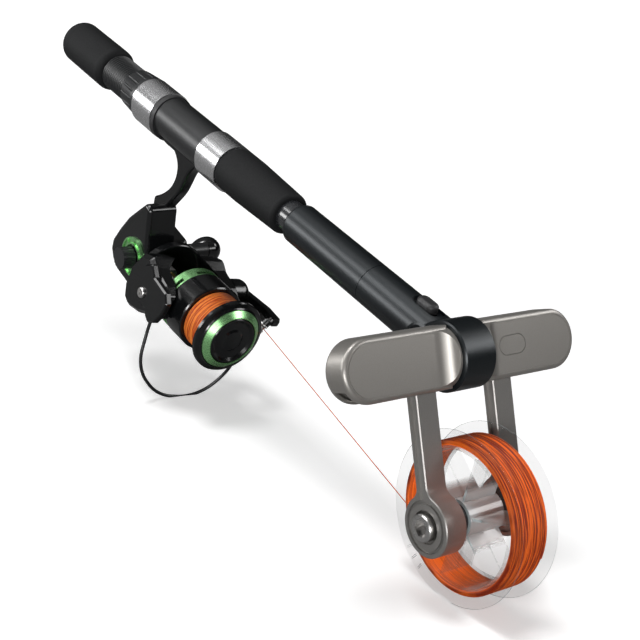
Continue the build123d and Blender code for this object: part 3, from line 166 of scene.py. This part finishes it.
# %% Finishes of the handle
foam = plain_finish("grip_foam", (0.006, 0.0065, 0.007), (0.011, 0.0115, 0.0125), (0.6, 0.75),
                    grain=3200, bump=0.2, Specular_IOR_Level=0.15)
seat_plastic = plain_finish("seat_plastic", (0.005, 0.006, 0.007), (0.009, 0.010, 0.011), (0.34, 0.44),
                            grain=2400, bump=0.1)
carbon = plain_finish("rod_lacquer", (0.012, 0.013, 0.015), (0.03, 0.032, 0.036), (0.2, 0.3),
                      grain=500, bump=0.05, stretch=(1, 4, 4), Coat_Weight=0.6, Coat_Roughness=0.08)
anodised = plain_finish("black_anodised", (0.006, 0.009, 0.011), (0.010, 0.014, 0.017), (0.3, 0.38),
                        grain=4200, bump=0.08, Metallic=0.35)
polished = plain_finish("polished_ring", (0.66, 0.66, 0.67), (0.71, 0.71, 0.72), (0.22, 0.28),
                        grain=900, bump=0.02, depth=0.00003, stretch=(8, 1, 1), Metallic=1.0)
soft_black = plain_finish("soft_black_trim", (0.010, 0.010, 0.011), (0.02, 0.02, 0.022), (0.45, 0.6),
                          grain=1500)

dress(foam, "butt_grip", "foregrip")
dress(seat_plastic, "seat_tube", "hood_nut")
dress(carbon, "rod_blank")
dress(anodised, "clamp_sleeve", "collet", "handle_body")
dress(polished, "moving_hood", "fixed_hood")
dress(soft_black, "hood_lip_ring", "lock_slider")

# %% [markdown]
# The head: a warm grey satin paint over metal on the crossbar, a darker one on the arms, bright turned
# steel on the spindles and black rubber on the cones.

# %% Finishes of the head
bar_paint = plain_finish("crossbar_satin", (0.29, 0.275, 0.255), (0.315, 0.30, 0.28), (0.34, 0.4),
                         grain=5200, bump=0.08, depth=0.00004, Metallic=0.5)
arm_paint = plain_finish("arm_satin", (0.235, 0.227, 0.215), (0.26, 0.25, 0.24), (0.36, 0.42),
                         grain=5200, bump=0.08, depth=0.00004, Metallic=0.5)
bright_steel = plain_finish("turned_steel", (0.52, 0.51, 0.5), (0.58, 0.57, 0.56), (0.24, 0.3),
                            grain=2600, bump=0.02, depth=0.00003, stretch=(1, 6, 1), Metallic=1.0)
dull_steel = plain_finish("dull_steel", (0.2, 0.2, 0.21), (0.3, 0.3, 0.31), (0.35, 0.5),
                          grain=900, Metallic=1.0)
rubber = plain_finish("cone_rubber", (0.008, 0.008, 0.009), (0.017, 0.017, 0.018), (0.5, 0.68),
                      grain=1600, bump=0.25)
brass = plain_finish("gear_brass", (0.55, 0.38, 0.14), (0.68, 0.5, 0.22), (0.28, 0.4),
                     grain=800, Metallic=1.0)

dress(bar_paint, "right_front_shell", "right_rear_shell", "left_front_shell", "left_rear_shell",
      "push_button")
dress(arm_paint, "right_arm", "left_arm")
dress(bright_steel, "right_axle", "left_axle", "right_bearing", "left_bearing", "guide_rod",
      "button_spring")
dress(dull_steel, "bar_hub", "shell_screws")
dress(rubber, "right_cone", "left_cone")

# %% [markdown]
# The spool is moulded in clear plastic: nearly see-through where it is looked at square on. Towards its
# edges, where it is seen at a slant, a painted reflection makes it whiter and less clear, and it is
# whiter round its hub too. A very weak noise stands for the ripples that moulding leaves.

# %% Clear plastic
hub_white_to = 15 * mm     # from the spool's axis; the plastic is at its whitest up to here
hub_clear_from = 24 * mm   # and as clear as the flanges from here
see_through = (0.0, 0.01, 0.008)
painted_reflection_and_hub_white = (0.60, 0.70, 0.72)
clear_plastic, clear_tree, clear_shader = new_finish("clear_plastic", IOR=1.49, Coat_Weight=0.4,
                                                     Coat_Roughness=0.04)
clear_ripple = add_noise(clear_tree, place_pattern(clear_tree), 120.0, detail=2.0)
clear_tree.links.new(spread(clear_tree, clear_ripple, 0.05, 0.12), clear_shader.inputs["Roughness"])
add_bump(clear_tree, clear_shader, clear_ripple, 0.1, 0.0003)
# Painted reflection: the plastic is whiter and less clear where it is seen at a slant.
painted_reflection_slant = add_node(clear_tree, "ShaderNodeLayerWeight", inputs={"Blend": 0.4})
across_axis = place_pattern(clear_tree, stretch=(1, 0.001, 1), centre=spool_mid)
hub_reach = add_node(clear_tree, "ShaderNodeVectorMath", operation="LENGTH")
clear_tree.links.new(across_axis, hub_reach.inputs[0])
hub_whitening = spread(clear_tree, hub_reach.outputs["Value"], 0.8, 0.0, hub_white_to, hub_clear_from)
reflection_and_hub_share = add_node(clear_tree, "ShaderNodeMath", operation="MAXIMUM")
clear_tree.links.new(painted_reflection_slant.outputs["Facing"], reflection_and_hub_share.inputs[0])
clear_tree.links.new(hub_whitening, reflection_and_hub_share.inputs[1])
clear_tree.links.new(two_tones(clear_tree, reflection_and_hub_share.outputs["Value"], see_through, painted_reflection_and_hub_white),
                     clear_shader.inputs["Base Color"])
clear_tree.links.new(spread(clear_tree, reflection_and_hub_share.outputs["Value"], 0.08, 0.92, 0.32, 0.95),
                     clear_shader.inputs["Alpha"])
dress(clear_plastic, "spool_near_half", "spool_far_half")
print("finish clear_plastic, clear beyond", hub_clear_from)

# %% [markdown]
# The reel is mostly gloss black with green anodised accents.

# %% Finishes of the reel
reel_gloss = plain_finish("reel_gloss", (0.003, 0.0035, 0.004), (0.006, 0.0065, 0.007), (0.14, 0.2),
                          grain=1500, bump=0.02, depth=0.00003)
reel_satin = plain_finish("reel_satin", (0.008, 0.009, 0.010), (0.016, 0.017, 0.019), (0.3, 0.42),
                          grain=1500)
green_metal = plain_finish("green_anodised", (0.30, 0.66, 0.27), (0.35, 0.72, 0.32), (0.24, 0.3),
                           grain=1500, bump=0.02, depth=0.00003, stretch=(6, 1, 1), Metallic=0.85)
drag_cloth = plain_finish("drag_cloth", (0.05, 0.05, 0.05), (0.09, 0.09, 0.09), (0.7, 0.85), grain=2500)

dress(reel_gloss, "reel_frame", "side_cover", "rotor", "reel_spool", "crank_knob", "crank_arm",
      "roller_arm", "bail_lever", "drag_knob")
dress(reel_satin, "crank_cap", "crank_shaft", "bail_wire", "roller_pin")
dress(green_metal, "side_ring", "spool_rear_band", "spool_front_ring")
dress(bright_steel, "main_shaft", "rotor_nut", "bail_screws", "line_roller", "main_bearing", "knob_pin")
dress(brass, "drive_gear", "pinion")
dress(drag_cloth, "drag_washers")

# %% [markdown]
# The line is a round braid. Along the spool's axis its tone changes from strand to strand, and round the
# spool only slowly, so single turns stand out as they do on a real winding.

# %% The line's finish
def line_finish(name, axis, dark, light, across=900, along=25):
    """Orange braid; axis is the way the turns stack up, across and along the pattern's scales a metre."""
    finish, tree, shader = new_finish(name, Specular_IOR_Level=0.25)
    where = add_node(tree, "ShaderNodeTexCoord")
    stack = add_node(tree, "ShaderNodeVectorMath", operation="DOT_PRODUCT", inputs={1: axis})
    tree.links.new(where.outputs["Object"], stack.inputs[0])
    slow = add_node(tree, "ShaderNodeMapping", inputs={"Scale": (along, along, along)})
    tree.links.new(where.outputs["Object"], slow.inputs["Vector"])
    fast = add_node(tree, "ShaderNodeVectorMath", operation="SCALE", inputs={0: axis})
    tall = add_node(tree, "ShaderNodeMath", operation="MULTIPLY", inputs={1: across})
    tree.links.new(stack.outputs["Value"], tall.inputs[0])
    tree.links.new(tall.outputs["Value"], fast.inputs["Scale"])
    both = add_node(tree, "ShaderNodeVectorMath", operation="ADD")
    tree.links.new(slow.outputs["Vector"], both.inputs[0])
    tree.links.new(fast.outputs["Vector"], both.inputs[1])
    strands = add_noise(tree, both.outputs["Vector"], 1.0, detail=3.0, rough=0.7)
    tree.links.new(two_tones(tree, spread(tree, strands, 0.0, 1.0, 0.34, 0.66), dark, light),
                   shader.inputs["Base Color"])
    tree.links.new(spread(tree, strands, 0.38, 0.58), shader.inputs["Roughness"])
    weave = add_noise(tree, where.outputs["Object"], 2600.0, detail=2.0)
    add_bump(tree, shader, weave, 0.25, 0.0001)
    return finish


def paint_light_through(finish, middle, glow):
    """Paints light on the faces that look in at the spool's axis: their glow stands in for the light that
    the clear drum passes on to them.

    The rest of the winding keeps a faint painted glow, standing in for the light that a loose braid
    scatters in itself.
    """
    tree = finish.node_tree
    shader = tree.nodes["Principled BSDF"]
    where = add_node(tree, "ShaderNodeTexCoord")
    outward = add_node(tree, "ShaderNodeMapping", inputs={"Location": [-c for c in middle]})
    tree.links.new(where.outputs["Object"], outward.inputs["Vector"])
    flat = add_node(tree, "ShaderNodeVectorMath", operation="MULTIPLY", inputs={1: (1, 0, 1)})
    tree.links.new(outward.outputs["Vector"], flat.inputs[0])
    unit = add_node(tree, "ShaderNodeVectorMath", operation="NORMALIZE")
    tree.links.new(flat.outputs["Vector"], unit.inputs[0])
    facing = add_node(tree, "ShaderNodeVectorMath", operation="DOT_PRODUCT")
    tree.links.new(unit.outputs["Vector"], facing.inputs[0])
    tree.links.new(where.outputs["Normal"], facing.inputs[1])
    # A faint painted glow over all the winding, and a stronger painted glow on the faces that look
    # inward.
    painted_scatter_glow = 0.06
    tree.links.new(spread(tree, facing.outputs["Value"], glow, painted_scatter_glow, -0.9, -0.3),
                   shader.inputs["Emission Strength"])
    shader.inputs["Emission Color"].default_value = (1.0, 0.16, 0.02, 1)


spool_orange = line_finish("spool_line", (0, 1, 0), (0.22, 0.010, 0.001), (1.0, 0.17, 0.012), across=1050)
reel_orange = line_finish("reel_line", (1, 0, 0), (0.45, 0.035, 0.003), (1.0, 0.30, 0.04), across=1100)
taut_orange = line_finish("taut_line", (0, 0, 1), (0.90, 0.13, 0.010), (1.0, 0.20, 0.020))
# Painted light: the faces of the spool's winding that look inward glow, as if lit through the clear drum.
paint_light_through(spool_orange, spool_mid, 0.62)
print("line finishes:", spool_orange.name, reel_orange.name, taut_orange.name)

# %% [markdown]
# Each winding is a smooth core under coils of line. A coil is one small ring swept round and along by a
# Screw modifier. The close coil lies turn beside turn, and a few open coils cross over it both ways.

# %% Tools for windings
def picked_only(thing):
    """Selects one object and makes it active."""
    bpy.ops.object.select_all(action="DESELECT")
    thing.select_set(True)
    bpy.context.view_layer.objects.active = thing


def lathe(name, profile, steps=96):
    """A closed profile of (radius, height) in metres, turned round the local Z axis."""
    mesh = bpy.data.meshes.new(name)
    corners = [(r, 0, h) for r, h in profile]
    sides = [(i, (i + 1) % len(profile)) for i in range(len(profile))]
    mesh.from_pydata(corners, sides, [])
    body = bpy.data.objects.new(name, mesh)
    bpy.context.scene.collection.objects.link(body)
    picked_only(body)
    turn = body.modifiers.new("turn", "SCREW")
    turn.steps = turn.render_steps = steps
    turn.use_merge_vertices = True
    turn.use_normal_calculate = True
    bpy.ops.object.modifier_apply(modifier="turn")
    bpy.ops.object.shade_smooth()
    return body


def coil(name, radius, strand, start, rise, turns, steps=72, sides=6):
    """A coil round the local Z axis: rise is its climb in one turn, below zero for the other hand."""
    bpy.ops.object.select_all(action="DESELECT")
    bpy.ops.mesh.primitive_circle_add(vertices=sides, radius=strand / 2, location=(radius, 0, start),
                                      rotation=(pi / 2, 0, 0), fill_type="NGON")
    body = bpy.context.active_object
    body.name = name
    bpy.ops.object.transform_apply(location=True, rotation=True, scale=True)
    turn = body.modifiers.new("turn", "SCREW")
    turn.steps = turn.render_steps = steps
    turn.screw_offset = rise
    turn.iterations = turns
    turn.use_normal_calculate = True
    bpy.ops.object.modifier_apply(modifier="turn")
    bpy.ops.object.shade_smooth()
    return body


def winding(name, radius, inner, low, high, strand, crossings, turn, middle, finish):
    """A wound pack between two heights on the local Z axis, put in place as one object.

    Each crossing is (share of the width where it starts, share where it ends, number of turns).
    """
    core = radius - strand * 0.6
    round_off = strand * 1.2
    parts = [lathe(name, [(inner, low), (radius - strand, low), (core, low + round_off),
                          (core, high - round_off), (radius - strand, high), (inner, high)])]
    edge = strand * 0.7
    width = high - low - 2 * edge
    close = strand * 1.04
    turns = int(width / close)
    parts.append(coil(name + "_close", radius - strand * 0.55, strand, low + edge, close, turns))
    turned_on = 2.1
    for number, (share_low, share_high, count) in enumerate(crossings):
        rise = width * (share_high - share_low) / count
        crossing = coil(f"{name}_cross_{number}", radius - strand * 0.5, strand * 0.95,
                        low + edge + width * share_low, rise, count)
        crossing.rotation_euler = (0, 0, number * turned_on)
        parts.append(crossing)
    bpy.ops.object.select_all(action="DESELECT")
    for part in parts:
        part.select_set(True)
    bpy.context.view_layer.objects.active = parts[0]
    bpy.ops.object.join()
    body = bpy.context.active_object
    body.matrix_world = Matrix.Translation(middle) @ turn.to_4x4()
    bpy.ops.object.transform_apply(location=True, rotation=True, scale=True)
    body.data.materials.clear()
    body.data.materials.append(finish)
    print(name, "turns", turns, "faces", len(body.data.polygons))
    return body


# %% [markdown]
# The line spool's winding lies across the head and the reel's lies along the rod.

# %% Both windings
pack_low, pack_high = (Vector(c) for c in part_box("braid_pack"))
spool_winding = winding("spool_winding", 41.0 * mm, 38.0 * mm, pack_low.y, pack_high.y, 0.75 * mm,
                        ((0.05, 0.95, 5), (0.97, 0.03, 4), (0.1, 0.8, 3), (0.9, 0.3, 3)),
                        Matrix.Rotation(-pi / 2, 3, "X"), spool_mid, spool_orange)
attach(spool_winding, "line_spool")
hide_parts("braid_pack")

reel_low, reel_high = (Vector(c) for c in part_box("reel_line_pack"))
reel_winding = winding("reel_winding", 20.8 * mm, 16.2 * mm, reel_low.x, reel_high.x, 0.55 * mm,
                       ((0.05, 0.95, 4), (0.97, 0.03, 4), (0.0, 0.9, 3), (1.0, 0.1, 3)),
                       Matrix.Rotation(pi / 2, 3, "Y"), Vector((0, 0, reel_axis_z)), reel_orange)
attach(reel_winding, "reel_spool")
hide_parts("reel_line_pack")

# %% [markdown]
# The taut line leaves the reel's winding, turns at the line roller and runs to the line spool. It is a
# spline through the same corners, with its bend at the roller.

# %% The working line
line_route = [Vector(p) * mm for p in ((210.9, 14.506, -89.777), (210.9, 36.669, -110.758),
                                       (459.565, 7.6, -111.639))]
roller_corner = line_route[1]
line_thick = 0.0006
short_run = line_route[0] - roller_corner
long_run = line_route[2] - roller_corner
bend_before = line_thick * 3
bend_after = line_thick * 6
route = [line_route[0], roller_corner + short_run.normalized() * bend_before, roller_corner,
         roller_corner + long_run.normalized() * bend_after, line_route[2]]
curve = bpy.data.curves.new("taut_line", "CURVE")
curve.dimensions = "3D"
spline = curve.splines.new("NURBS")
spline.points.add(len(route) - 1)
for point, place in zip(spline.points, route):
    point.co = (*place, 1)
spline.order_u = 3
spline.use_endpoint_u = True
curve.resolution_u = 24
curve.bevel_depth = line_thick / 2
curve.bevel_resolution = 3
taut_line = bpy.data.objects.new("taut_line", curve)
bpy.context.scene.collection.objects.link(taut_line)
taut_line.data.materials.append(taut_orange)
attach(taut_line, "handle")
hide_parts("working_line")
print("taut line", round(short_run.length + long_run.length, 4))

# %% [markdown]
# The object stands on the line spool's rim and the bail wire, so the floor slopes with the line through
# both. The camera sees it pale and a little lit from within, so it stays white around a soft shadow. To
# every other ray it is grey, so that it does not wash out the object from below.

# %% The floor
floor_pale = (0.86, 0.86, 0.86, 1)
floor_grey = (0.3, 0.3, 0.3, 1)
floor_glow = 0.5
floor_low = Vector((460.0, 0, -117.6)) * mm
floor_back = Vector((206.0, 0, -168.5)) * mm
floor_run = (floor_low - floor_back).normalized()
floor_slope = atan2(-floor_run.z, floor_run.x)
bpy.ops.object.select_all(action="DESELECT")
bpy.ops.mesh.primitive_plane_add(size=8.0, location=floor_low, rotation=(0, floor_slope, 0))
floor = bpy.context.active_object
floor.name = "studio_floor"
floor_paint, floor_tree, floor_shader = new_finish("studio_floor", Roughness=0.9, Specular_IOR_Level=0.1,
                                                   Emission_Color=(1, 1, 1, 1))
seen = add_node(floor_tree, "ShaderNodeLightPath")
glow = add_node(floor_tree, "ShaderNodeMath", operation="MULTIPLY", inputs={1: floor_glow})
floor_tree.links.new(seen.outputs["Is Camera Ray"], glow.inputs[0])
floor_tree.links.new(glow.outputs["Value"], floor_shader.inputs["Emission Strength"])
mix_from, mix_to, mix_result = 6, 7, 2     # the Mix node's sockets for colours
tone = add_node(floor_tree, "ShaderNodeMix", data_type="RGBA",
                inputs={mix_from: floor_grey, mix_to: floor_pale})
floor_tree.links.new(seen.outputs["Is Camera Ray"], tone.inputs["Factor"])
floor_tree.links.new(tone.outputs[mix_result], floor_shader.inputs["Base Color"])
floor.data.materials.append(floor_paint)
print("floor slope", round(degrees(floor_slope), 2))

# %% [markdown]
# Four soft boxes only make highlights: long ones over the left, low along the left and behind the right,
# and a small one ahead of the head. Two wide distant lights do the rest: one from above, a little behind,
# which casts the shadow, and one along the floor from the camera's side.

# %% Lights
aim_point = Vector((0.25, 0, -0.05))


def soft_box(name, place, size, power):
    """An area light aimed at the object's middle, which matt surfaces do not see."""
    lamp = bpy.data.lights.new(name, "AREA")
    lamp.shape = "RECTANGLE"
    lamp.size, lamp.size_y = size
    lamp.energy = power
    holder = bpy.data.objects.new(name, lamp)
    bpy.context.scene.collection.objects.link(holder)
    holder.visible_diffuse = False
    aim = (aim_point - Vector(place)).to_track_quat("-Z", "Y")
    holder.matrix_world = Matrix.Translation(Vector(place)) @ aim.to_matrix().to_4x4()


soft_box("key_box", (-0.25, -0.75, 0.75), (0.9, 0.35), 7)
soft_box("rim_box", (0.7, 0.9, 0.7), (1.2, 0.3), 8)
soft_box("fill_box", (1.2, -0.5, 0.25), (0.5, 0.5), 3)
soft_box("edge_box", (-0.45, -0.95, 0.08), (1.1, 0.3), 9)


def far_light(name, toward, power, spread_angle):
    """A distant light; toward points from the object to it, and spread_angle softens its shadow."""
    lamp = bpy.data.lights.new(name, "SUN")
    lamp.energy = power
    lamp.angle = radians(spread_angle)
    holder = bpy.data.objects.new(name, lamp)
    bpy.context.scene.collection.objects.link(holder)
    holder.rotation_euler = Vector(toward).to_track_quat("Z", "Y").to_euler()


far_light("overhead", (-0.34, -0.16, 0.92), 1.6, 20)
far_light("front_fill", (0.62, -0.77, 0.12), 3.2, 25)

# %% [markdown]
# The world is a dim gradient, brightest above, and the camera sees it as plain white.

# %% The world
world = bpy.data.worlds.new("studio")
bpy.context.scene.world = world
world.use_nodes = True
air = world.node_tree
back = air.nodes["Background"]
back.inputs["Color"].default_value = (1, 1, 1, 1)
gaze = add_node(air, "ShaderNodeTexCoord")
sky_top = (-0.35, -0.35, 0.87)
height = add_node(air, "ShaderNodeVectorMath", operation="DOT_PRODUCT", inputs={1: sky_top})
air.links.new(gaze.outputs["Generated"], height.inputs[0])
sky_dim, sky_bright = 0.015, 0.3
sky = spread(air, height.outputs["Value"], sky_dim, sky_bright, 0.3, 0.95)
path = add_node(air, "ShaderNodeLightPath")
strength = add_node(air, "ShaderNodeMath", operation="MAXIMUM")
air.links.new(path.outputs["Is Camera Ray"], strength.inputs[0])
air.links.new(sky, strength.inputs[1])
air.links.new(strength.outputs["Value"], back.inputs["Strength"])
print("world from", sky_dim, "to", sky_bright)

# %% [markdown]
# The camera looks down past the head to the butt, rolled so that the rod falls from the top left.

# %% Camera
lens = bpy.data.cameras.new("view")
lens.lens = 71.02
lens.sensor_width = 36.0
camera = bpy.data.objects.new("view", lens)
bpy.context.scene.collection.objects.link(camera)
camera_place = Vector((792.8, -439.5, 303.7)) * mm
view_right = (0.55971, 0.79731, 0.22586)
view_up = (-0.50727, 0.11413, 0.85420)
view_back = (0.65529, -0.59268, 0.46833)
look_turn = Matrix((view_right, view_up, view_back)).transposed()
camera.matrix_world = Matrix.Translation(camera_place) @ look_turn.to_4x4()
bpy.context.scene.camera = camera
bpy.context.scene.view_settings.view_transform = "Standard"
print("camera at", tuple(round(v, 3) for v in camera_place))
